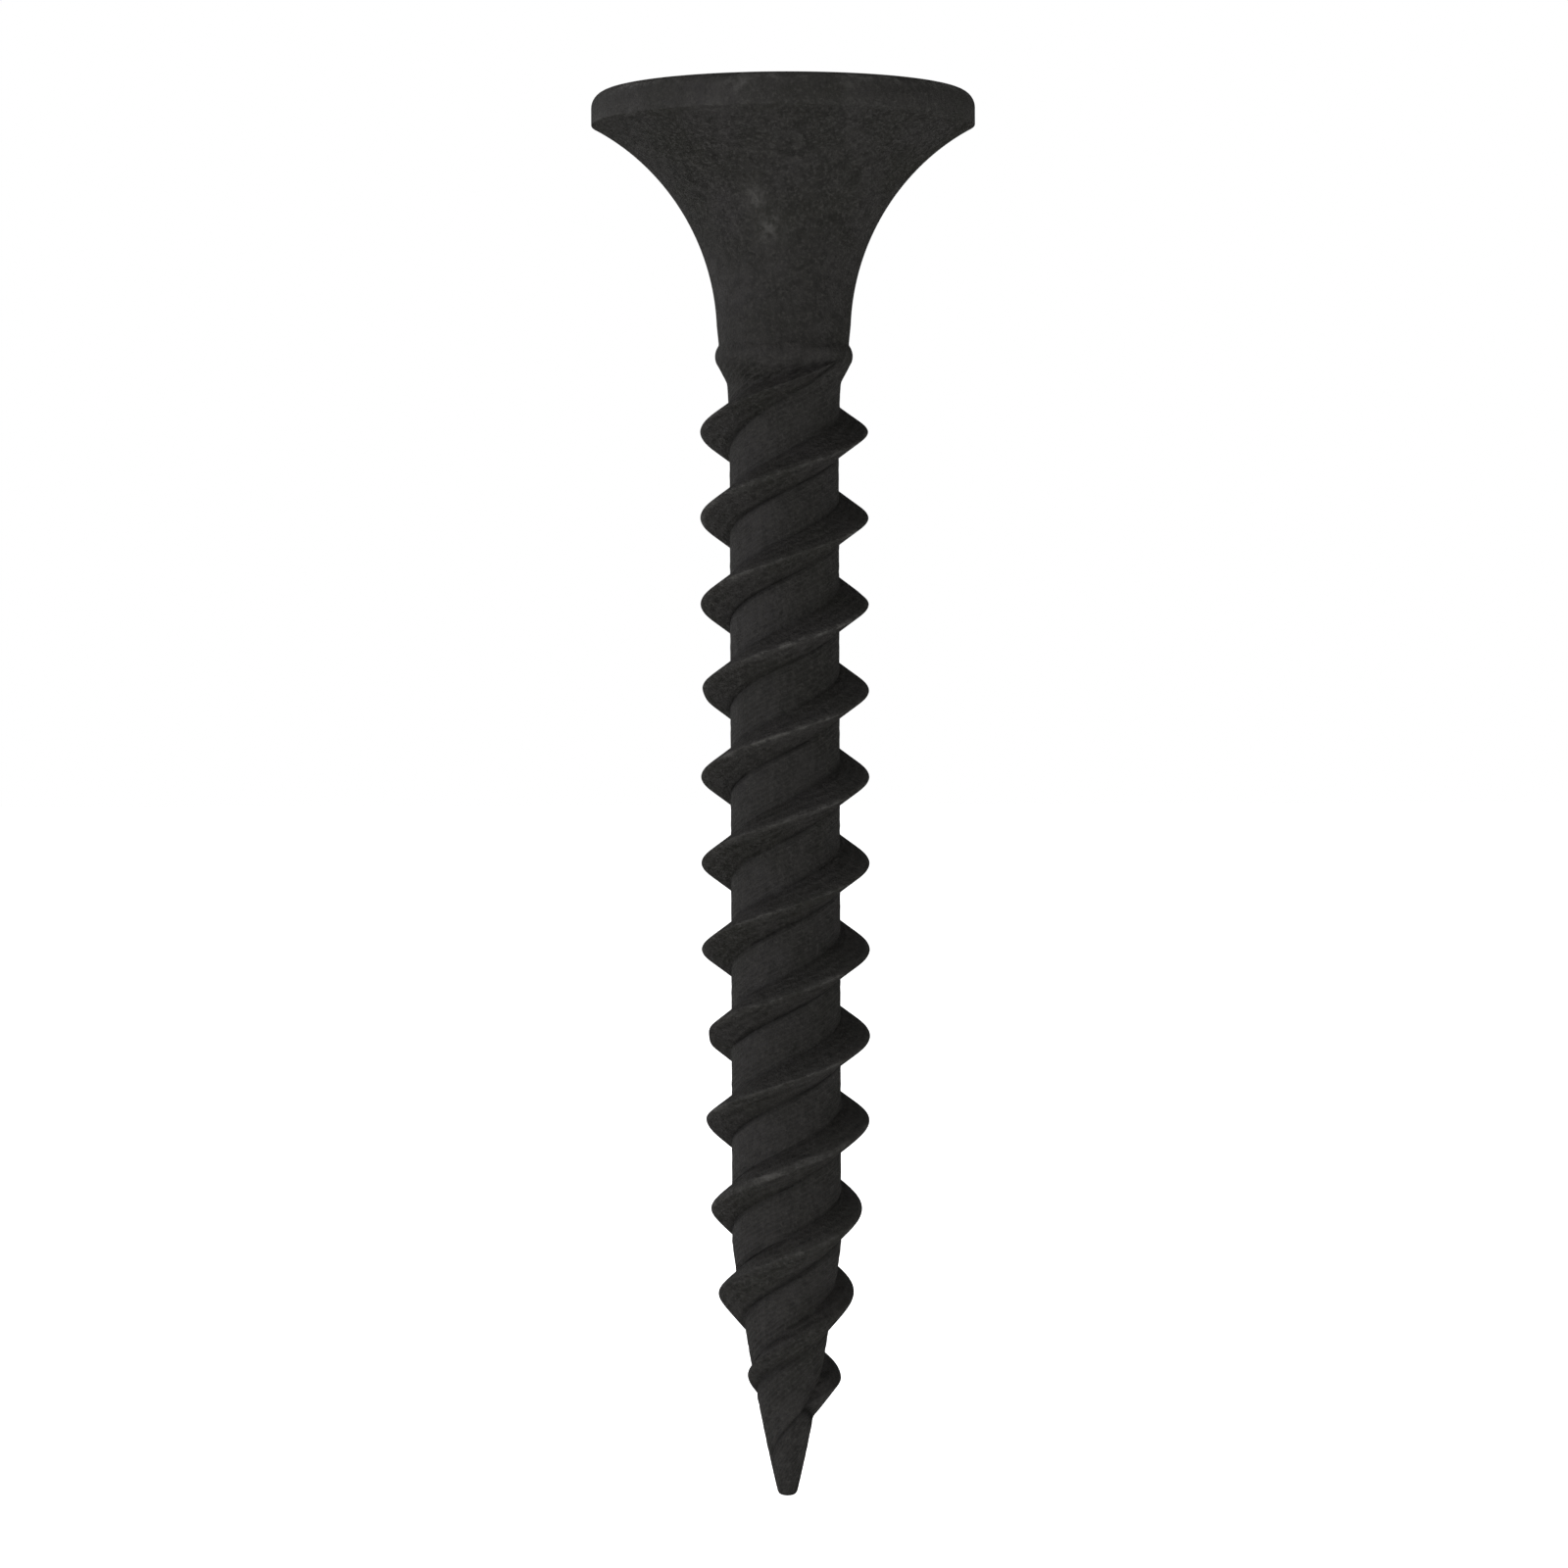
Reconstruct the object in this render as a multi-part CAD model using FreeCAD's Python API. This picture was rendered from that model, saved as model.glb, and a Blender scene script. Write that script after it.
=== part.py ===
import FreeCAD, Part
import math
import os

# A bugle-head wood screw, 3.5 x 30 mm, with a two-start coarse thread and a pinched point.
# Millimetres. The origin is the centre of the head's flat top, +Z leaves the board,
# and the screw goes down to its point at z = -LENGTH.

LENGTH = 30.0

# Head: a thin disc with a rounded top edge, then a flare that runs down to the neck
HEAD_R = 4.105
EDGE_ROUND = 0.33
RIM_BOTTOM_Z = -0.69
RIM_BREAK = 0.015
FLARE_R = 5.085
FLARE_END = (1.435, -4.97)

# Neck: a short taper of plain wire, and a swelling where the rolling starts
NECK_END = (1.391, -5.40)
SWELL_MID = (1.475, -5.61)
SWELL_END = (1.41, -5.84)
SHOULDER_END = (1.213, -6.21)

# Core of the thread, and the point, which narrows along one long arc to a blunt tip
CORE_R = 1.168
CORE_TOP_Z = -7.20
POINT_TOP_Z = -24.60
POINT_MID = (0.764, -27.20)
POINT_END = (0.222, -29.87)
TIP_FLAT_R = 0.12

# Thread: equal right-hand starts spaced evenly round the core
STARTS = 2
PITCH = 1.846
LEAD = PITCH * STARTS
CREST_R = 1.80
CREST_LAND = 0.05
FLANK = math.radians(32)
PHASE_Z = 0.143
RISE_Z = (-5.10, -7.35)
FOOT_SHARE = 0.6

# A ridge is drawn through one section per STEP, and one face covers PER_FACE steps, half a turn
STEP = math.radians(15)
PER_FACE = 12

# Towards the point the ridges get lower and blunter, lean over on their lower side, and die out
LOSS_Z = (-21.8, -22.8)
LOSS = 0.29
BLUNT_Z = (-21.4, -22.8)
BLUNT = 0.13
LEAN_Z = (-21.0, -30.4)
LEAN = math.radians(25)
FADE_Z = ((-25.1, -29.1), (-27.45, -28.2))
SUNK = 0.05

# Cross recess, size No. 2
RECESS_R = 2.40
RECESS_FOOT_R = 1.15
WING_ANGLE = math.radians(26.5)
FLOOR_ANGLE = math.radians(28)
WING_W = 1.16
WING_FOOT_W = 0.84
WELL_R = 1.12
WELL_FOOT_R = 0.72


def ease(z, span):
    """0 to 1 along an S-curve as z goes down from the first height of the span to the second."""
    t = min(max((span[0] - z) / (span[0] - span[1]), 0.0), 1.0)
    return t * t * (3 - 2 * t)


def vec(point):
    r, z = point
    return FreeCAD.Vector(r, 0, z)


def line(a, b):
    return Part.LineSegment(vec(a), vec(b)).toShape()


def arc(a, mid, b):
    return Part.Arc(vec(a), vec(mid), vec(b)).toShape()


def flare():
    """Hollow arc from the rim's lower edge to the neck."""
    a, b = (HEAD_R - RIM_BREAK, RIM_BOTTOM_Z - RIM_BREAK), FLARE_END
    dr, dz = b[0] - a[0], b[1] - a[1]
    chord = math.hypot(dr, dz)
    sag = FLARE_R - math.sqrt(FLARE_R**2 - chord**2 / 4)
    middle = ((a[0] + b[0]) / 2 + dz / chord * sag, (a[1] + b[1]) / 2 - dr / chord * sag)
    return arc(a, middle, b)


POINT_ARC = arc((CORE_R, POINT_TOP_Z), POINT_MID, POINT_END)


def core_radius(z):
    """Radius of the screw's body without its thread, from the neck to the tip."""
    if z > POINT_TOP_Z:
        return CORE_R + (NECK_END[0] - CORE_R) * (1 - ease(z, (NECK_END[1], CORE_TOP_Z)))
    centre, radius = POINT_ARC.Curve.Center, POINT_ARC.Curve.Radius
    return centre.x + math.sqrt(radius**2 - (z - centre.z) ** 2)


def crest_radius(z, start):
    """Radius of a start's crest where it passes height z. It begins and ends below the surface."""
    if z > POINT_TOP_Z:
        low = NECK_END[0] - SUNK
        full = CREST_R - (CREST_R - CORE_R) * LOSS * ease(z, LOSS_Z)
        return low + (full - low) * ease(z, RISE_Z)
    height = (CREST_R - CORE_R) * (1 - LOSS)
    return core_radius(z) + height - (height + SUNK) * ease(z, FADE_Z[start])


def blank():
    """The screw without thread and recess, turned from its profile."""
    top_r = HEAD_R - EDGE_ROUND
    rim_end = (HEAD_R - RIM_BREAK, RIM_BOTTOM_Z - RIM_BREAK)
    diagonal = math.sqrt(0.5)
    edges = [
        line((0, 0), (top_r, 0)),
        arc(
            (top_r, 0),
            (top_r + EDGE_ROUND * diagonal, EDGE_ROUND * (diagonal - 1)),
            (HEAD_R, -EDGE_ROUND),
        ),
        line((HEAD_R, -EDGE_ROUND), (HEAD_R, RIM_BOTTOM_Z)),
        arc(
            (HEAD_R, RIM_BOTTOM_Z),
            (rim_end[0] + RIM_BREAK * diagonal, RIM_BOTTOM_Z - RIM_BREAK * diagonal),
            rim_end,
        ),
        flare(),
        line(FLARE_END, NECK_END),
        arc(NECK_END, SWELL_MID, SWELL_END),
        line(SWELL_END, SHOULDER_END),
        line(SHOULDER_END, (CORE_R, CORE_TOP_Z)),
        line((CORE_R, CORE_TOP_Z), (CORE_R, POINT_TOP_Z)),
        POINT_ARC,
        line(POINT_END, (TIP_FLAT_R, -LENGTH)),
        line((TIP_FLAT_R, -LENGTH), (0, -LENGTH)),
        line((0, -LENGTH), (0, 0)),
    ]
    face = Part.Face(Part.Wire(edges))
    return face.revolve(FreeCAD.Vector(0, 0, 0), FreeCAD.Vector(0, 0, 1), 360)


def section(turn, start):
    """The four corners of a ridge at an angle round the screw, from its upper foot over the crest."""
    z = PHASE_Z + PITCH * start + LEAD * turn / (2 * math.pi)
    crest = crest_radius(z, start)
    foot = FOOT_SHARE * core_radius(z)
    half_land = (CREST_LAND + BLUNT * ease(z, BLUNT_Z)) / 2
    upper = (crest - foot) * math.tan(FLANK) + half_land
    lower = (crest - foot) * math.tan(FLANK + LEAN * ease(z, LEAN_Z)) + half_land
    corners = [
        (foot, z + upper),
        (crest, z + half_land),
        (crest, z - half_land),
        (foot, z - lower),
    ]
    return [FreeCAD.Vector(r * math.cos(turn), r * math.sin(turn), h) for r, h in corners]


def ridge(start):
    """One start of the thread as a solid, rooted well inside the core."""
    first = PHASE_Z + PITCH * start
    low = (FADE_Z[start][1] - first) * 2 * math.pi / LEAD
    high = (RISE_Z[0] - first) * 2 * math.pi / LEAD
    count = math.ceil((high - low) / STEP / PER_FACE) * PER_FACE
    turns = [low + (high - low) * i / count for i in range(count + 1)]
    sections = [section(turn, start) for turn in turns]
    curves = []
    for k in range(4):
        curve = Part.BSplineCurve()
        curve.interpolate(Points=[s[k] for s in sections], Parameters=turns)
        curves.append(curve)
    faces = []
    for i in range(0, count, PER_FACE):
        edges = [curve.toShape(turns[i], turns[i + PER_FACE]) for curve in curves]
        faces += [Part.makeRuledSurface(edges[k], edges[(k + 1) % 4], 1) for k in range(4)]
    for s in (sections[0], sections[-1]):
        faces.append(Part.Face(Part.makePolygon(s + [s[0]])))
    shell = Part.Shell(faces)
    shell.sewShape()
    solid = Part.Solid(shell)
    if solid.Volume < 0:
        solid.reverse()
    return solid


def recess():
    """The cross recess as the solid that is taken out of the head."""
    foot_z = -(RECESS_R - RECESS_FOOT_R) / math.tan(WING_ANGLE)
    floor_z = foot_z - RECESS_FOOT_R * math.tan(FLOOR_ANGLE)
    above = 0.5
    profile = [
        (0, above),
        (RECESS_R + above * math.tan(WING_ANGLE), above),
        (RECESS_FOOT_R, foot_z),
        (0, floor_z),
        (0, above),
    ]
    face = Part.Face(Part.makePolygon([vec(p) for p in profile]))
    envelope = face.revolve(FreeCAD.Vector(0, 0, 0), FreeCAD.Vector(0, 0, 1), 360)
    slope = (WING_W - WING_FOOT_W) / -foot_z
    wide, narrow = WING_W + slope * above, WING_W + slope * floor_z
    outline = [(-wide / 2, above), (wide / 2, above), (narrow / 2, floor_z), (-narrow / 2, floor_z)]
    points = [FreeCAD.Vector(x, -HEAD_R, z) for x, z in outline + outline[:1]]
    bar = Part.Face(Part.makePolygon(points)).extrude(FreeCAD.Vector(0, 2 * HEAD_R, 0))
    across = bar.copy()
    across.rotate(FreeCAD.Vector(0, 0, 0), FreeCAD.Vector(0, 0, 1), 90)
    taper = (WELL_R - WELL_FOOT_R) / -foot_z
    well = Part.makeCone(
        WELL_R + taper * above,
        WELL_R + taper * floor_z,
        above - floor_z,
        FreeCAD.Vector(0, 0, above),
        FreeCAD.Vector(0, 0, -1),
    )
    return envelope.common(bar.fuse([across, well]))


def screw():
    body = blank()
    for start in range(STARTS):
        body = body.fuse(ridge(start))
    return body.cut(recess()).removeSplitter()


os.makedirs("parts", exist_ok=True)
screw().exportStep("parts/screw.step")
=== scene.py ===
"""A black phosphated wood screw, stood on its point on a white sweep and seen level from the front."""
import math

import bpy
import numpy as np
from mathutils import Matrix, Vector


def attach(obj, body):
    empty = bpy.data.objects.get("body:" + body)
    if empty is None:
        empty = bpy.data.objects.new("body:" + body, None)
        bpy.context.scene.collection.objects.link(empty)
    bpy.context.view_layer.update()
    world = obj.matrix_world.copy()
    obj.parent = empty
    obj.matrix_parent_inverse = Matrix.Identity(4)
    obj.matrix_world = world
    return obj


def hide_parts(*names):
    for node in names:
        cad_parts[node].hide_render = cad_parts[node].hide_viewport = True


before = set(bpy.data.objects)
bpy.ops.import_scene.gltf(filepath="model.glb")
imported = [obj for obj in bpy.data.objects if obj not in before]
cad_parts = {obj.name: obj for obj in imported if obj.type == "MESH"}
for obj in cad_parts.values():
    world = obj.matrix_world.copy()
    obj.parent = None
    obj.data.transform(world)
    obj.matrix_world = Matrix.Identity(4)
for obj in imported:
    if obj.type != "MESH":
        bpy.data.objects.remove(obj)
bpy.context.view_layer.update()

MM = 0.001

# ---------------------------------------------------------------- dimensions, mm
LENGTH = 30.0
HEAD_R = 4.105
EDGE_ROUND = 0.33
RIM_BOTTOM_Z = -0.69
RIM_BREAK = 0.015
FLARE_R = 5.085
FLARE_END = (1.435, -4.97)
NECK_END = (1.391, -5.40)
SWELL_MID = (1.475, -5.61)
SWELL_END = (1.41, -5.84)
SHOULDER_END = (1.213, -6.21)
CORE_R = 1.168
CORE_TOP_Z = -7.20
POINT_TOP_Z = -24.60
POINT_MID = (0.764, -27.20)
POINT_END = (0.222, -29.87)
TIP = [(0.212, -29.90), (0.18, -29.955), (0.13, -29.985), (0.06, -LENGTH)]

STARTS = 2
PITCH = 1.846
LEAD = PITCH * STARTS
CREST_R = 1.80
FLANK = math.radians(32)
CREST_ROUND = 0.02
ROOT_ROUND = 0.04
PHASE_Z = 0.143
RISE_Z = (-5.10, -7.35)
LOSS_Z = (-21.8, -22.8)
LOSS = 0.29
BLUNT_Z = (-21.4, -22.8)
BLUNT = 0.09
SHARP_END_Z = (-25.8, -27.2)
LEAN_Z = (-21.0, -30.4)
LEAN = math.radians(25)
FADE_Z = ((-25.1, -29.1), (-27.5, -28.2))
SUNK = 0.05

RECESS_R = 2.40
RECESS_FOOT_R = 1.15
WING_ANGLE = math.radians(26.5)
FLOOR_ANGLE = math.radians(28)
WING_W = 1.16
WING_FOOT_W = 0.84
WELL_R = 1.12
WELL_FOOT_R = 0.72
LIP = 0.06
# depths of the feet of the wings and of the middle of the floor
FOOT_DEPTH = (RECESS_R - RECESS_FOOT_R) / math.tan(WING_ANGLE)
FLOOR_DEPTH = FOOT_DEPTH + RECESS_FOOT_R * math.tan(FLOOR_ANGLE)

# ---------------------------------------------------------------- small marks of making and handling, and where painted highlights and shade go
# knocks on a crest: angle round the screw in degrees, height, depth, half length along the crest
KNOCKS = [
    (180, -20.20, 0.15, 30),
    (178, -22.08, 0.08, 26),
    (172, -12.78, 0.05, 18),
    (20, -11.05, 0.04, 9),
    (262, -17.1, 0.06, 9),
    (70, -14.4, 0.09, 11),
    (110, -18.9, 0.06, 12),
    (45, -9.5, 0.05, 8),
]
# a knock dies away over this difference in height, so that it marks one ridge only
KNOCK_Z = 0.50
# places where the coating is rubbed thin and painted glints lie: angle in degrees, height, radius of the
# place
SCUFFS_AND_GLINTS = [
    (-106, -2.45, 0.24),
    (-98, -3.05, 0.30),
    (-104, -0.10, 0.42),
    (-70, -0.12, 0.22),
    (35, -1.9, 0.40),
    (62, -3.6, 0.30),
    (128, -2.7, 0.45),
    (150, -0.3, 0.45),
    (20, -0.2, 0.35),
    (-101, -22.9, 0.28),
    (-82, -21.0, 0.22),
    (-90, -17.2, 0.24),
    (60, -13.1, 0.30),
    (140, -19.6, 0.30),
]
# fine waves that the thread rolls leave: height, and where they begin and end
ROLL_WAVE = 0.006
WAVE_START_Z = (-5.3, -6.6)
WAVE_END_Z = (-28.8, -29.6)
# crease that the rolls leave along the foot of every flank: depth, depth near the point, width,
# where it gets deeper and where it ends
CREASE = 0.006
POINT_CREASE = 0.022
CREASE_WIDTH = 0.05
DEEPER_Z = (-22.5, -25.0)
CREASE_END_Z = (-28.5, -29.5)
# the dies that pinch the point leave it very slightly square
POINT_SQUARE = 0.018
SQUARE_START_Z = (-26.5, -29.0)
SQUARE_END_Z = (-29.5, -29.8)
# wear and painted highlight on the rim: how far in from the top edge it is strongest, its width there, and
# its width and strength at the lower edge
WORN_BAND = 0.10
WORN_WIDTH = 0.12
LOWER_WORN_WIDTH = 0.05
LOWER_WORN = 0.4
# share of a ridge's height above which its crest is worn and gets a painted highlight
WORN_SHARE = 0.80
# painted shade in the feet of the flanks, darkest under each ridge: width of its line, how far below
# the surface the line lies, where it begins, and how much stays on the upper flank's foot
SEAM_WIDTH = 0.07
SEAM_SINK = 0.02
SEAM_TOP_Z = -5.3
UPPER_SEAM = 0.45

# ---------------------------------------------------------------- mesh density
COLUMNS = 192
WING_END_STEPS, WING_SIDE_STEPS, WELL_STEPS = 6, 10, 8
FLARE_STEPS = 40
THREAD_TOP_Z = -5.04
THREAD_BOTTOM_Z = -29.80
# radii of the rings on the recess's cone-shaped floor, and shares of the way over the flat top
FLOOR_RADII = (0.12, 0.30, 0.50, 0.70, 0.80, 0.97)
TOP_SHARES = (0.08, 0.25, 0.45, 0.7)
# shares of the feet's depth at which a ring lies on the recess's walls
WALL_SHARES = (1, 0.97, 7 / 8, 6 / 8, 5 / 8, 4 / 8, 3 / 8, 2 / 8, 1 / 8)
# a helical line this close to the top or bottom ring is that ring
END_GAP = 0.01
# distances of the helical lines from the middle of a ridge, one side, closest where the shape turns
LINE_STEPS = (0, 0.015, 0.035, 0.07, 0.12, 0.18, 0.24, 0.30, 0.35, 0.39, 0.42, 0.46, 0.52, 0.60, 0.70, 0.81)


def ease(z, span):
    """0 to 1 along an S-curve as z goes from the first value of the span to the second."""
    t = np.clip((span[0] - z) / (span[0] - span[1]), 0.0, 1.0)
    return t * t * (3 - 2 * t)


def arc(a, mid, b, count):
    """Points of the circular arc from a to b through mid, without a."""
    (ax, ay), (bx, by), (cx, cy) = a, mid, b
    d = 2 * (ax * (by - cy) + bx * (cy - ay) + cx * (ay - by))
    sa, sb, sc = ax * ax + ay * ay, bx * bx + by * by, cx * cx + cy * cy
    ux = (sa * (by - cy) + sb * (cy - ay) + sc * (ay - by)) / d
    uy = (sa * (cx - bx) + sb * (ax - cx) + sc * (bx - ax)) / d
    radius = math.hypot(ax - ux, ay - uy)
    turns = np.unwrap([math.atan2(y - uy, x - ux) for x, y in (a, mid, b)])
    angles = np.linspace(turns[0], turns[2], count + 1)[1:]
    return [(ux + radius * math.cos(t), uy + radius * math.sin(t)) for t in angles]


def hollow_mid(a, b, radius):
    """Middle point of the arc of this radius from a to b that is hollow towards the outside."""
    dr, dz = b[0] - a[0], b[1] - a[1]
    chord = math.hypot(dr, dz)
    sag = radius - math.sqrt(radius**2 - chord**2 / 4)
    return (a[0] + b[0]) / 2 + dz / chord * sag, (a[1] + b[1]) / 2 - dr / chord * sag


def quarter(centre, radius, start, count):
    """Points of a convex quarter circle that turns from this angle by -90 degrees."""
    angles = [math.radians(start - 90 * i / count) for i in range(count + 1)]
    return [(centre[0] + radius * math.cos(t), centre[1] + radius * math.sin(t)) for t in angles]


# ---------------------------------------------------------------- the body without its thread
BODY = [FLARE_END, NECK_END]
BODY += arc(NECK_END, SWELL_MID, SWELL_END, 16)
BODY += [SHOULDER_END, (CORE_R, CORE_TOP_Z), (CORE_R, POINT_TOP_Z)]
BODY += arc((CORE_R, POINT_TOP_Z), POINT_MID, POINT_END, 40)
BODY = np.array(BODY)
FINE_STEP = 0.01
FINE_Z = np.arange(-LENGTH, FLARE_END[1], FINE_STEP)
FINE_R = np.interp(FINE_Z, BODY[::-1, 1], BODY[::-1, 0])
# the corners of the profile are softened over this many fine steps to each side
SOFT_STEPS = 6
SOFTEN = np.hanning(2 * SOFT_STEPS + 1)
FINE_R = np.convolve(np.pad(FINE_R, SOFT_STEPS, "edge"), SOFTEN / SOFTEN.sum(), "valid")


def body_radius(z):
    """Radius of the body without its thread, from the end of the flare to the point."""
    return np.interp(z, FINE_Z, FINE_R)


def plain_core(z):
    """Body radius without the swelling, on which the ridges stand."""
    upper = CORE_R + (NECK_END[0] - CORE_R) * (1 - ease(z, (NECK_END[1], CORE_TOP_Z)))
    return np.where(z > POINT_TOP_Z, upper, body_radius(z))


def crest_radius(z, start):
    """Radius of a start's crest where it passes height z. It begins and ends below the surface."""
    low = NECK_END[0] - SUNK
    full = CREST_R - (CREST_R - CORE_R) * LOSS * ease(z, LOSS_Z)
    upper = low + (full - low) * ease(z, RISE_Z)
    height = (CREST_R - CORE_R) * (1 - LOSS)
    lower = plain_core(z) + height - (height + SUNK) * ease(z, FADE_Z[start])
    return np.where(z > POINT_TOP_Z, upper, lower)


def soft_max(a, b, k):
    """The larger of a and b, blended where they are less than k apart."""
    h = np.maximum(k - np.abs(a - b), 0) / k
    return np.maximum(a, b) + h * h * k / 4


def apart(turn, degrees):
    """Angle between a direction and one given in degrees, from -180 to 180."""
    return (np.degrees(turn) - degrees + 180) % 360 - 180


def knocked(turn, z):
    """How far the knocks on the crests have pushed the metal in."""
    depth = 0.0
    for degrees, height, most, half in KNOCKS:
        away = (apart(turn, degrees) / half) ** 2 + ((z - height) / KNOCK_Z) ** 2
        depth = depth + most * np.exp(-away)
    return depth


def rolled(turn, z):
    """Fine helical waves of the thread rolls, two sets that drift against each other."""
    v = 2 * math.pi * (z / LEAD) - turn
    wave = np.sin(11 * v + 1.3 * np.sin(z * 1.7 + turn)) + np.sin(18 * v + 2.1 + 1.1 * np.sin(z * 1.1))
    return ROLL_WAVE / 2 * wave * ease(z, WAVE_START_Z) * (1 - ease(z, WAVE_END_Z))


def ridge(turn, z, start):
    """Radius of one start's ridge, and how far above its middle each point is."""
    first = PHASE_Z + PITCH * start + LEAD * turn / (2 * math.pi)
    d = (z - first + LEAD / 2) % LEAD - LEAD / 2
    middle = z - d
    lean = np.where(d < 0, LEAN * ease(middle, LEAN_Z), 0)
    land = CREST_ROUND + BLUNT * ease(middle, BLUNT_Z) * (1 - ease(middle, SHARP_END_Z))
    drop = (np.sqrt(d * d + land**2) - land) / np.tan(FLANK + lean)
    return crest_radius(middle, start) - knocked(turn, middle) - drop, d


def surface_radius(turn, z):
    """Radius of the threaded part at an angle and height."""
    square = POINT_SQUARE * ease(z, SQUARE_START_Z) * (1 - ease(z, SQUARE_END_Z))
    radius = body_radius(z) * (1 + square * np.cos(4 * turn + 0.9)) + rolled(turn, z)
    crease = CREASE + (POINT_CREASE - CREASE) * ease(z, DEEPER_Z) * (1 - ease(z, CREASE_END_Z))
    for start in range(STARTS):
        height = ridge(turn, z, start)[0]
        foot = np.exp(-(((height - radius) / CREASE_WIDTH) ** 2))
        radius = soft_max(radius, height, ROOT_ROUND) - crease * foot * ease(z, RISE_Z)
    return radius


# ---------------------------------------------------------------- mesh
verts, faces = [], []


def add_ring(points):
    """Adds a ring of vertices and gives their numbers."""
    first = len(verts)
    verts.extend(points)
    return list(range(first, len(verts)))


def bridge(upper, lower):
    """Faces between two rings; rings go round counterclockwise seen from above."""
    count = len(upper)
    for i in range(count):
        j = (i + 1) % count
        faces.append((upper[i], lower[i], lower[j], upper[j]))


def ring_of(r, z):
    """A plain round ring with one point per column."""
    turns = np.arange(COLUMNS) * 2 * math.pi / COLUMNS
    return [(r * math.cos(t), r * math.sin(t), z) for t in turns]


def helical_lines():
    """Heights of the helical lines at turn 0, from the top down, and how many lie within one lead."""
    half = np.array(LINE_STEPS)
    steps = np.concatenate([-half[:0:-1], half, [PITCH / 2]])
    count = math.ceil((LENGTH + LEAD) / PITCH) + 4
    heights = np.concatenate([PHASE_Z + PITCH * (1 - n) + steps for n in range(count)])
    return np.sort(heights)[::-1], len(steps) * STARTS


def thread():
    """The threaded part as columns cut by helical lines. Gives its top and bottom ring."""
    offsets, per_lead = helical_lines()
    columns, tops, bottoms = [], [], []
    for i in range(COLUMNS):
        turn = 2 * math.pi * i / COLUMNS
        z = offsets + LEAD * i / COLUMNS
        a = int(np.nonzero(z >= THREAD_TOP_Z - END_GAP)[0][-1])
        b = int(np.nonzero(z <= THREAD_BOTTOM_Z + END_GAP)[0][0])
        z = z[a : b + 1].copy()
        z[0], z[-1] = THREAD_TOP_Z, THREAD_BOTTOM_Z
        r = surface_radius(turn, z)
        first = len(verts)
        verts.extend(zip(r * math.cos(turn), r * math.sin(turn), z))
        columns.append((first, a, b))
        tops.append(first)
        bottoms.append(len(verts) - 1)

    def number(column, line):
        first, a, b = columns[column]
        return first + min(max(line, a), b) - a

    for i in range(COLUMNS):
        j = (i + 1) % COLUMNS
        shift = per_lead if j == 0 else 0
        for line in range(len(offsets) - 1):
            corners = (
                number(i, line),
                number(i, line + 1),
                number(j, line + 1 - shift),
                number(j, line - shift),
            )
            kept = [c for k, c in enumerate(corners) if c != corners[k - 1]]
            if len(set(kept)) > 2:
                faces.append(tuple(kept))
    return tops, bottoms


def head_rings():
    """Rings from the edge of the flat top over the rim and down the flare to the neck."""
    start = (HEAD_R - RIM_BREAK, RIM_BOTTOM_Z - RIM_BREAK)
    profile = [(HEAD_R - EDGE_ROUND, 0.0)]
    profile += quarter((HEAD_R - EDGE_ROUND, -EDGE_ROUND), EDGE_ROUND, 90, 10)[1:]
    profile += quarter((HEAD_R - RIM_BREAK, RIM_BOTTOM_Z), RIM_BREAK, 0, 3)
    profile += arc(start, hollow_mid(start, FLARE_END, FLARE_R), FLARE_END, FLARE_STEPS)
    return [ring_of(r, z) for r, z in profile]


def recess_outline(depth, grow=0.0):
    """The recess's outline at a depth, as points round the axis; grow widens it for the lip."""
    half = (WING_W - (WING_W - WING_FOOT_W) * depth / FOOT_DEPTH) / 2 + grow
    well = WELL_R - (WELL_R - WELL_FOOT_R) * depth / FOOT_DEPTH + grow
    if depth <= FOOT_DEPTH:
        reach = RECESS_R - depth * math.tan(WING_ANGLE) + grow
    else:
        reach = RECESS_FOOT_R - (depth - FOOT_DEPTH) / math.tan(FLOOR_ANGLE)
    steps = WING_END_STEPS + WING_SIDE_STEPS + WELL_STEPS
    if reach <= well:
        octant = [(reach, math.pi / 4 * i / steps) for i in range(steps + 1)]
    else:
        tip_turn = math.asin(half / reach)
        inner_x = math.sqrt(well**2 - half**2)
        octant = [(reach, tip_turn * i / WING_END_STEPS) for i in range(WING_END_STEPS)]
        for i in range(WING_SIDE_STEPS):
            x = reach * math.cos(tip_turn) + (inner_x - reach * math.cos(tip_turn)) * i / WING_SIDE_STEPS
            octant.append((math.hypot(x, half), math.atan2(half, x)))
        inner_turn = math.atan2(half, inner_x)
        for i in range(WELL_STEPS + 1):
            octant.append((well, inner_turn + (math.pi / 4 - inner_turn) * i / WELL_STEPS))
    quadrant = octant + [(r, math.pi / 2 - t) for r, t in octant[-2:0:-1]]
    return [(r, t + k * math.pi / 2) for k in range(4) for r, t in quadrant]


def top_rings():
    """Rings from the recess's floor up its walls and over the lip to the flat top."""
    depths = [FLOOR_DEPTH - r * math.tan(FLOOR_ANGLE) for r in FLOOR_RADII]
    depths += [FOOT_DEPTH * share for share in WALL_SHARES] + [LIP * 1.2]
    rings = [(recess_outline(d), -d) for d in depths]
    for k in range(1, 4):
        lean = math.radians(30 * k)
        rings.append((recess_outline(0, LIP * (1 - math.cos(lean))), -LIP * (1 - math.sin(lean))))
    inner = rings[-1][0]
    for share in TOP_SHARES:
        blend = []
        for i, (r, t) in enumerate(inner):
            even = 2 * math.pi * i / COLUMNS
            blend.append((r + (HEAD_R - EDGE_ROUND - r) * share, t + (even - t) * share))
        rings.append((blend, 0.0))
    return [[(r * math.cos(t), r * math.sin(t), z) for r, t in ring] for ring, z in rings]


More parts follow.
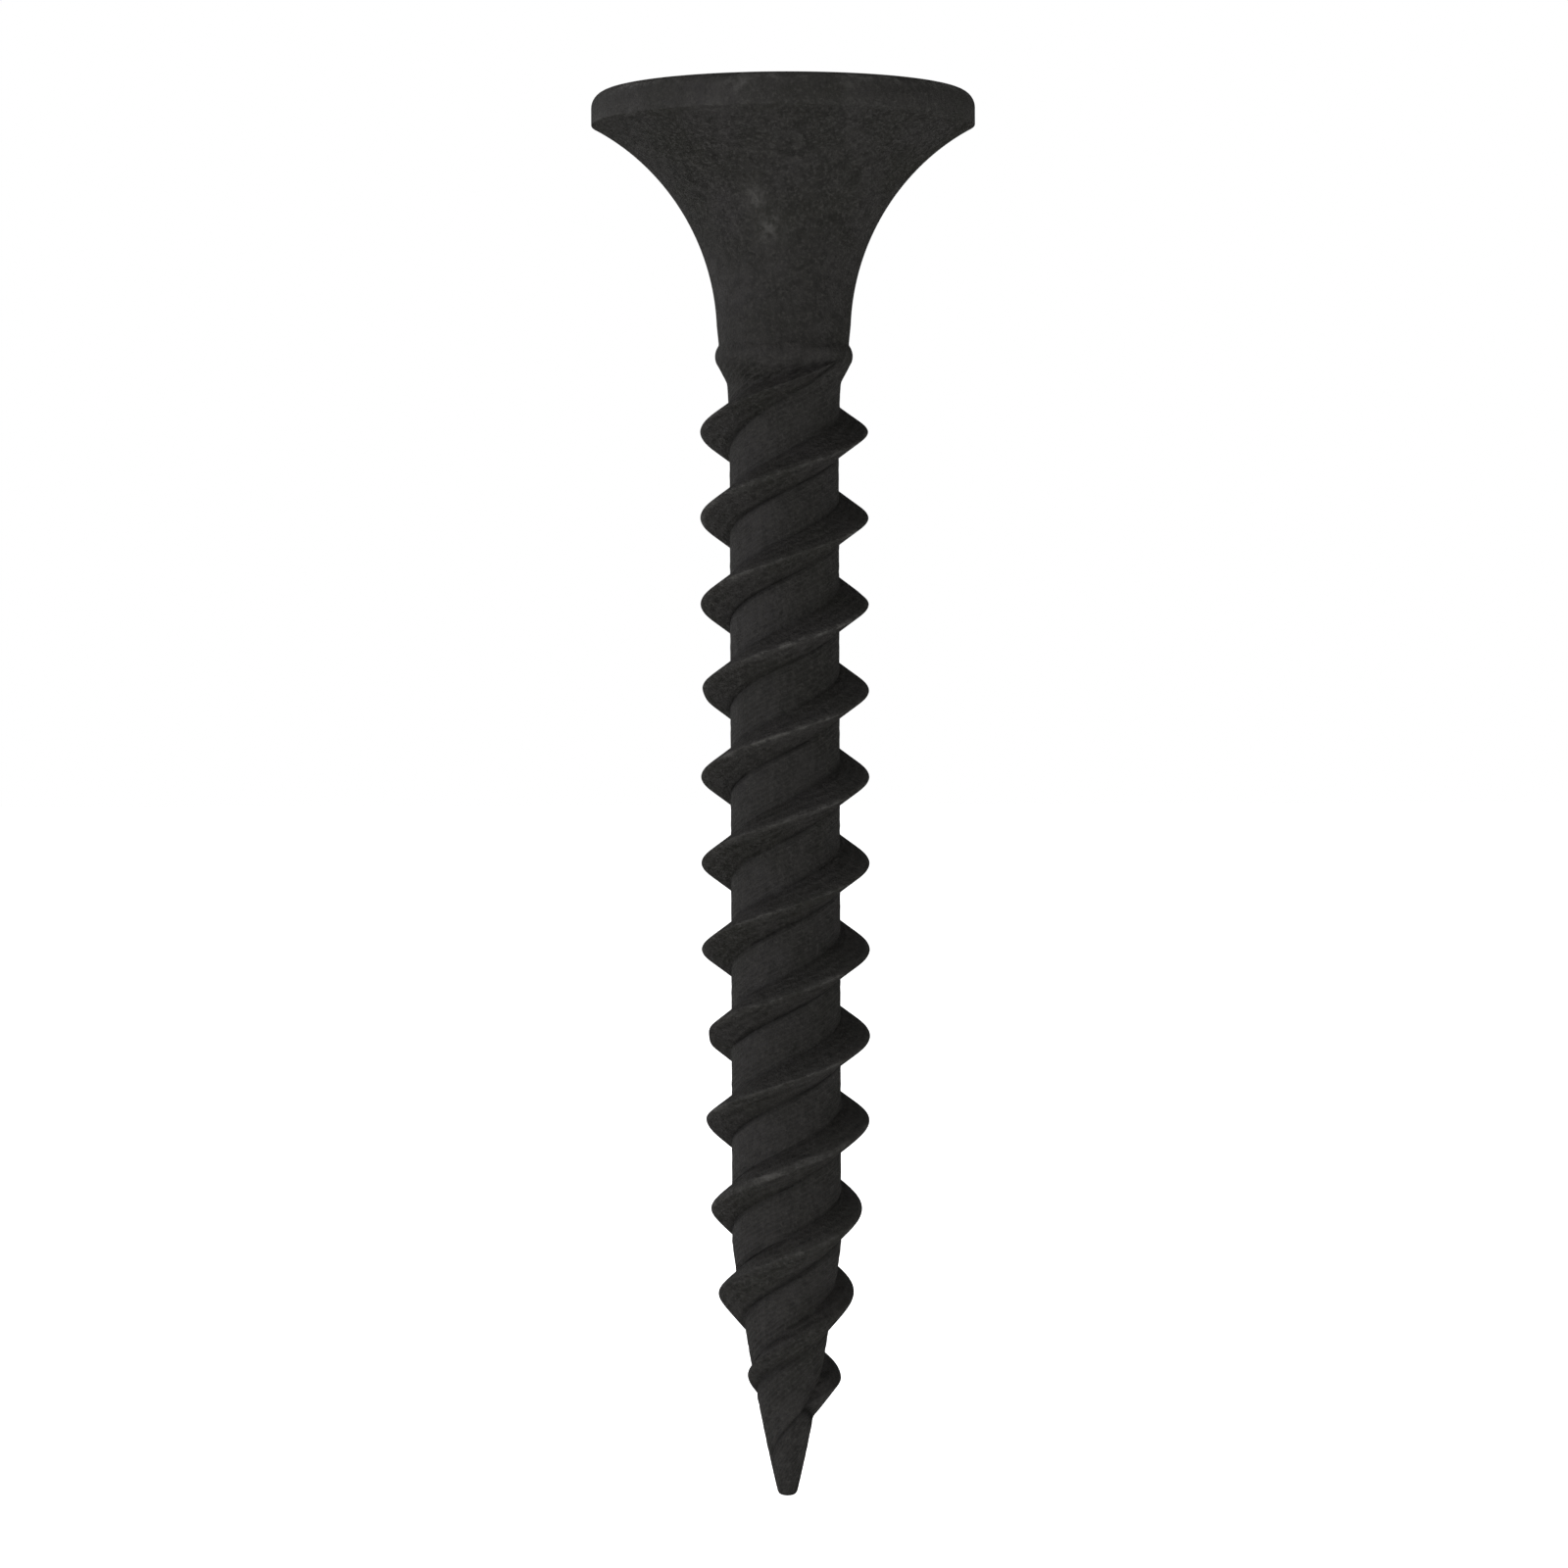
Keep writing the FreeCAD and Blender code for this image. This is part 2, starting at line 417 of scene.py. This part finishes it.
def add_layer(mesh, name, values):
    """Stores one number per vertex under a name that the material reads."""
    mesh.attributes.new(name, "FLOAT", "POINT").data.foreach_set("value", values.astype(np.float32))


def mark_wear_and_painted_light(mesh, points):
    """Stores where the coating is worn and painted highlights go (crests, rim edges, rubbed places and
    glints), and where painted shade goes in the feet of the flanks.
    """
    x, y, z = points.T
    r, turn = np.hypot(x, y), np.arctan2(y, x)
    low = plain_core(z)
    full = CREST_R - (CREST_R - CORE_R) * LOSS * ease(z, LOSS_Z)
    share = np.clip((r - low) / (full - low), 0, 1)
    crest = np.where(z < RISE_Z[0], ease(share, (WORN_SHARE, 1.0)), 0)
    corner = np.hypot(r - HEAD_R + WORN_BAND, z + WORN_BAND)
    lower = np.hypot(r - HEAD_R, z - RIM_BOTTOM_Z)
    rim = np.exp(-((corner / WORN_WIDTH) ** 2)) + LOWER_WORN * np.exp(-((lower / LOWER_WORN_WIDTH) ** 2))
    # crests and rim edges: wear, with painted highlights
    add_layer(mesh, "edge", np.maximum(crest, rim))
    # painted shade along the feet of the flanks, fuller on the lower flank under each ridge
    root_shade = np.zeros(len(points))
    for start in range(STARTS):
        height, d = ridge(turn, z, start)
        gap = height - body_radius(z)
        near = np.exp(-(((gap + SEAM_SINK) / SEAM_WIDTH) ** 2)) * np.where(d < 0, 1.0, UPPER_SEAM)
        root_shade = np.maximum(root_shade, np.where(z < SEAM_TOP_Z, near, 0))
    add_layer(mesh, "root_shade", root_shade)
    inward = np.where(z > RIM_BOTTOM_Z, HEAD_R - r, 0)
    # rubbed places, made lighter as painted glints on the head and on crests
    scuff_and_glint = np.zeros(len(points))
    for degrees, height, size in SCUFFS_AND_GLINTS:
        sideways = np.radians(apart(turn, degrees)) * r
        scuff_and_glint += np.exp(-(sideways**2 + (z - height) ** 2 + inward**2) / size**2)
    scuff_and_glint *= np.where(z < RISE_Z[0], crest, 1)
    add_layer(mesh, "scuff_and_glint", np.clip(scuff_and_glint, 0, 1))


def build_screw():
    """The whole screw as one closed mesh: recess, flat top, rim, flare, thread and tip."""
    top, bottom = thread()
    rings = [add_ring(points) for points in head_rings()]
    for upper, lower in zip(rings, rings[1:] + [top]):
        bridge(upper, lower)
    inside = [add_ring(points) for points in top_rings()]
    for lower, upper in zip(inside, inside[1:]):
        bridge(lower, upper)
    bridge(inside[-1], rings[0])
    verts.append((0, 0, -FLOOR_DEPTH))
    for i in range(COLUMNS):
        faces.append((len(verts) - 1, inside[0][i], inside[0][(i + 1) % COLUMNS]))
    upper = bottom
    for r, z in TIP:
        lower = add_ring(ring_of(r, z))
        bridge(upper, lower)
        upper = lower
    verts.append((0, 0, -LENGTH))
    for i in range(COLUMNS):
        faces.append((upper[i], len(verts) - 1, upper[(i + 1) % COLUMNS]))
    points = np.array([tuple(v) for v in verts])
    mesh = bpy.data.meshes.new("screw_skin")
    mesh.from_pydata(points * MM, [], faces)
    mesh.validate()
    mark_wear_and_painted_light(mesh, points)
    mesh.polygons.foreach_set("use_smooth", [True] * len(mesh.polygons))
    mesh.set_sharp_from_angle(angle=math.radians(38))
    ob = bpy.data.objects.new("screw_skin", mesh)
    bpy.context.collection.objects.link(ob)
    return ob


# ---------------------------------------------------------------- material
# colours of the coating, of bare steel that also serves as painted highlight, and of painted shade, as
# linear light
OLIVE_BLACK = (0.0132, 0.0129, 0.0108, 1)
BROWN_BLACK = (0.0185, 0.0174, 0.0166, 1)
PORE = (0.0080, 0.0077, 0.0068, 1)
CRYSTAL = (0.033, 0.0318, 0.0290, 1)
DRAWN_LINE = (0.022, 0.021, 0.019, 1)
ROLLED_LINE = (0.027, 0.026, 0.024, 1)
# lighter bare steel, which also serves as painted highlight and glint
BARE_STEEL_AND_HIGHLIGHT = (0.075, 0.073, 0.068, 1)
# painted shade for the feet of the flanks
SHADE_IN_ROOTS = (0.0035, 0.0034, 0.0030, 1)
# depths of the bumps, mm
CRYSTAL_BUMP, MOTTLE_BUMP, DRAWN_BUMP, LINE_BUMP = 0.030, 0.060, 0.020, 0.006
# fine lines along the thread: how many lie round the screw, and how far noise pushes them, radians
LINES_ROUND = 29.0
LINE_DRIFT = 9.0


class Nodes:
    """Short ways to add shader nodes to one material. Lengths inside the material are in mm."""

    def __init__(self, mat):
        self.tree = mat.node_tree
        coord = self.tree.nodes.new("ShaderNodeTexCoord")
        self.place = self.vector("SCALE", coord.outputs["Object"], scale=1 / MM)

    def put(self, socket, value):
        """Links a socket into this one, or sets this one to a value."""
        if isinstance(value, bpy.types.NodeSocket):
            self.tree.links.new(value, socket)
        else:
            socket.default_value = value

    def vector(self, operation, a, b=None, scale=None):
        node = self.tree.nodes.new("ShaderNodeVectorMath")
        node.operation = operation
        self.put(node.inputs[0], a)
        if b is not None:
            self.put(node.inputs[1], b)
        if scale is not None:
            self.put(node.inputs["Scale"], scale)
        return node.outputs["Vector"]

    def math(self, operation, a, b=0.0):
        node = self.tree.nodes.new("ShaderNodeMath")
        node.operation = operation
        self.put(node.inputs[0], a)
        self.put(node.inputs[1], b)
        return node.outputs["Value"]

    def noise(self, per_mm, detail=3.0, stretch=(1, 1, 1), rough=0.5):
        """Noise of about this many spots per millimetre, stretched along an axis by a factor below 1."""
        node = self.tree.nodes.new("ShaderNodeTexNoise")
        self.put(node.inputs["Vector"], self.vector("MULTIPLY", self.place, stretch))
        self.put(node.inputs["Scale"], per_mm)
        self.put(node.inputs["Detail"], detail)
        self.put(node.inputs["Roughness"], rough)
        return node.outputs["Fac"]

    def spread(self, value, low, high, to_low=0.0, to_high=1.0):
        """Maps low..high to to_low..to_high along an S-curve."""
        node = self.tree.nodes.new("ShaderNodeMapRange")
        node.interpolation_type = "SMOOTHSTEP"
        numbers = {"Value": value, "From Min": low, "From Max": high, "To Min": to_low, "To Max": to_high}
        for name, number in numbers.items():
            self.put(node.inputs[name], number)
        return node.outputs["Result"]

    def mix(self, share, a, b):
        node = self.tree.nodes.new("ShaderNodeMix")
        node.data_type = "RGBA"
        for name, value in (("Factor_Float", share), ("A_Color", a), ("B_Color", b)):
            socket = next(s for s in node.inputs if s.identifier == name)
            self.put(socket, value)
        return next(s for s in node.outputs if s.identifier == "Result_Color")

    def layer(self, name):
        """A number that is stored on the mesh."""
        node = self.tree.nodes.new("ShaderNodeAttribute")
        node.attribute_name = name
        return node.outputs["Fac"]

    def bump(self, height, distance_mm, under=None):
        node = self.tree.nodes.new("ShaderNodeBump")
        self.put(node.inputs["Strength"], 1.0)
        self.put(node.inputs["Distance"], distance_mm * MM)
        self.put(node.inputs["Height"], height)
        if under is not None:
            self.put(node.inputs["Normal"], under)
        return node.outputs["Normal"]


def helix_lines(n):
    """Fine lines that follow the thread, broken up by noise, only below the neck."""
    parts = n.tree.nodes.new("ShaderNodeSeparateXYZ")
    n.put(parts.inputs["Vector"], n.place)
    turn = n.math("ARCTAN2", parts.outputs["Y"], parts.outputs["X"])
    along = n.math("SUBTRACT", n.math("MULTIPLY", parts.outputs["Z"], 2 * math.pi / LEAD), turn)
    drift = n.math("MULTIPLY", n.noise(0.9, 4.0), LINE_DRIFT)
    lines = n.math("SINE", n.math("ADD", n.math("MULTIPLY", along, LINES_ROUND), drift))
    below_neck = n.spread(parts.outputs["Z"], -6.2, -5.4, 1.0, 0.0)
    return n.math("MULTIPLY", n.spread(lines, -0.2, 1.0), below_neck)


def phosphate():
    """Matt black phosphate on steel: fine crystals, oily clouds, thin where it has been rubbed, with
    painted highlights on crests, rim and rubbed places and painted shade in the feet of the flanks.
    """
    mat = bpy.data.materials.new("phosphated_steel")
    mat.use_nodes = True
    n = Nodes(mat)
    bsdf = n.tree.nodes["Principled BSDF"]
    n.put(bsdf.inputs["Specular IOR Level"], 0.22)
    n.put(bsdf.inputs["Metallic"], 0.0)

    height = n.tree.nodes.new("ShaderNodeSeparateXYZ")
    n.put(height.inputs["Vector"], n.place)
    clouds = n.noise(0.75, 5.0)
    mottle = n.noise(4.2, 5.0, rough=0.62)
    crystals = n.noise(13.0, 3.0, rough=0.7)
    drawn = n.noise(6.0, 4.0, stretch=(1, 1, 0.07))
    lines = helix_lines(n)
    near_point = n.spread(height.outputs["Z"], -28.3, -26.8, 1.0, 0.3)

    colour = n.mix(n.spread(clouds, 0.35, 0.65), OLIVE_BLACK, BROWN_BLACK)
    colour = n.mix(n.spread(mottle, 0.40, 0.62, 0.0, 0.65), colour, PORE)
    colour = n.mix(n.spread(crystals, 0.48, 0.66, 0.0, 0.6), colour, CRYSTAL)
    streaks = n.math("MULTIPLY", n.spread(drawn, 0.50, 0.68), near_point)
    colour = n.mix(streaks, colour, DRAWN_LINE)
    colour = n.mix(n.math("MULTIPLY", lines, 0.28), colour, ROLLED_LINE)
    # bare steel on crests, rim edges and rubbed places: partly wear, partly painted highlights and glints
    patchy = n.spread(clouds, 0.40, 0.60, 0.45, 1.0)
    bare_and_highlit = n.math("MULTIPLY", n.spread(mottle, 0.43, 0.60, 0.06, 0.90), patchy)
    rubbed_and_highlit = n.math("MULTIPLY", n.layer("edge"), bare_and_highlit)
    scuff_and_glint_patch = n.math("MULTIPLY", n.layer("scuff_and_glint"), n.spread(mottle, 0.40, 0.64, 0.05, 0.85))
    worn_and_highlit = n.math("MAXIMUM", rubbed_and_highlit, scuff_and_glint_patch)
    colour = n.mix(n.math("MULTIPLY", worn_and_highlit, 0.60), colour, BARE_STEEL_AND_HIGHLIGHT)
    # painted shade in the feet of the flanks, broken up by clouds
    root_shade_share = n.math("MULTIPLY", n.layer("root_shade"), n.spread(clouds, 0.38, 0.62, 0.35, 0.95))
    colour = n.mix(root_shade_share, colour, SHADE_IN_ROOTS)
    n.put(bsdf.inputs["Base Color"], colour)

    rough = n.spread(crystals, 0.35, 0.65, 0.48, 0.72)
    rough = n.math("SUBTRACT", rough, n.math("MULTIPLY", worn_and_highlit, 0.16))
    n.put(bsdf.inputs["Roughness"], rough)

    normal = n.bump(crystals, CRYSTAL_BUMP)
    normal = n.bump(mottle, MOTTLE_BUMP, normal)
    normal = n.bump(drawn, DRAWN_BUMP, normal)
    normal = n.bump(lines, LINE_BUMP, normal)
    n.put(bsdf.inputs["Normal"], normal)
    return mat


# ---------------------------------------------------------------- surroundings, metres unless named
FLOOR_HALF = 4.0
FLOOR_GAP = 0.00002
FLOOR_GLOW = 1.3
LIGHT_DISTANCE = 0.35
CAMERA_DISTANCE_MM = 122.7
CAMERA_X_MM = -0.027
CAMERA_Z_MM = -14.78
CAMERA_ROLL = math.radians(0.19)
VIEW_WIDTH_MM = 33.552
SENSOR_WIDTH_MM = 36


def sweep():
    """Pale floor that glows a little, so that it stays as white as the backdrop and lights the screw."""
    z = -LENGTH * MM - FLOOR_GAP
    mesh = bpy.data.meshes.new("sweep")
    corners = [(x * FLOOR_HALF, y * FLOOR_HALF, z) for x, y in ((-1, -1), (1, -1), (1, 1), (-1, 1))]
    mesh.from_pydata(corners, [], [(0, 1, 2, 3)])
    ob = bpy.data.objects.new("sweep", mesh)
    bpy.context.collection.objects.link(ob)
    mat = bpy.data.materials.new("pale_sweep")
    mat.use_nodes = True
    bsdf = mat.node_tree.nodes["Principled BSDF"]
    bsdf.inputs["Base Color"].default_value = (0.9, 0.9, 0.9, 1)
    bsdf.inputs["Roughness"].default_value = 0.9
    bsdf.inputs["Specular IOR Level"].default_value = 0.0
    bsdf.inputs["Emission Color"].default_value = (1, 1, 1, 1)
    bsdf.inputs["Emission Strength"].default_value = FLOOR_GLOW
    mesh.materials.append(mat)
    ob.visible_glossy = False


def softbox(name, azimuth, elevation, size, power, colour=(1, 1, 1)):
    """A square soft light aimed at the screw from an azimuth (0 is the camera's side, -90 the left)."""
    light = bpy.data.lights.new(name, "AREA")
    light.color = colour
    light.shape = "SQUARE"
    light.size = size
    light.energy = power
    ob = bpy.data.objects.new(name, light)
    bpy.context.collection.objects.link(ob)
    side, up = math.radians(azimuth), math.radians(elevation)
    middle = Vector((0, 0, -LENGTH / 2 * MM))
    way = Vector((math.sin(side) * math.cos(up), -math.cos(side) * math.cos(up), math.sin(up)))
    ob.location = middle + way * LIGHT_DISTANCE
    ob.rotation_euler = (-way).to_track_quat("-Z", "Y").to_euler()
    ob.visible_camera = False


def studio():
    """White backdrop that only the camera sees, and six soft lights, the strongest from the left."""
    world = bpy.data.worlds.new("studio")
    world.use_nodes = True
    background = world.node_tree.nodes["Background"]
    background.inputs["Color"].default_value = (1, 1, 1, 1)
    background.inputs["Strength"].default_value = 1.0
    world.cycles_visibility.diffuse = False
    world.cycles_visibility.glossy = False
    bpy.context.scene.world = world
    softbox("key", -62, 12, 0.35, 0.88, (0.98, 0.95, 1.0))
    softbox("front", 4, -2, 0.40, 0.30, (1.0, 0.98, 0.92))
    softbox("top", 20, 75, 0.30, 0.42)
    softbox("right", 62, 6, 0.30, 0.14)
    softbox("back_left", -125, 14, 0.40, 0.26)
    softbox("back_right", 125, 14, 0.40, 0.07)
    bpy.context.scene.view_settings.view_transform = "Standard"


def camera():
    """Level camera at about half the screw's height, turned very slightly about its line of sight."""
    data = bpy.data.cameras.new("camera")
    data.sensor_width = SENSOR_WIDTH_MM
    data.lens = SENSOR_WIDTH_MM * CAMERA_DISTANCE_MM / VIEW_WIDTH_MM
    data.clip_start = 0.001
    ob = bpy.data.objects.new("camera", data)
    ob.location = (CAMERA_X_MM * MM, -CAMERA_DISTANCE_MM * MM, CAMERA_Z_MM * MM)
    ob.rotation_euler = (math.radians(90), CAMERA_ROLL, 0)
    bpy.context.collection.objects.link(ob)
    bpy.context.scene.camera = ob


screw = build_screw()
screw.data.materials.append(phosphate())
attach(screw, "root")
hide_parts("screw")
sweep()
studio()
camera()
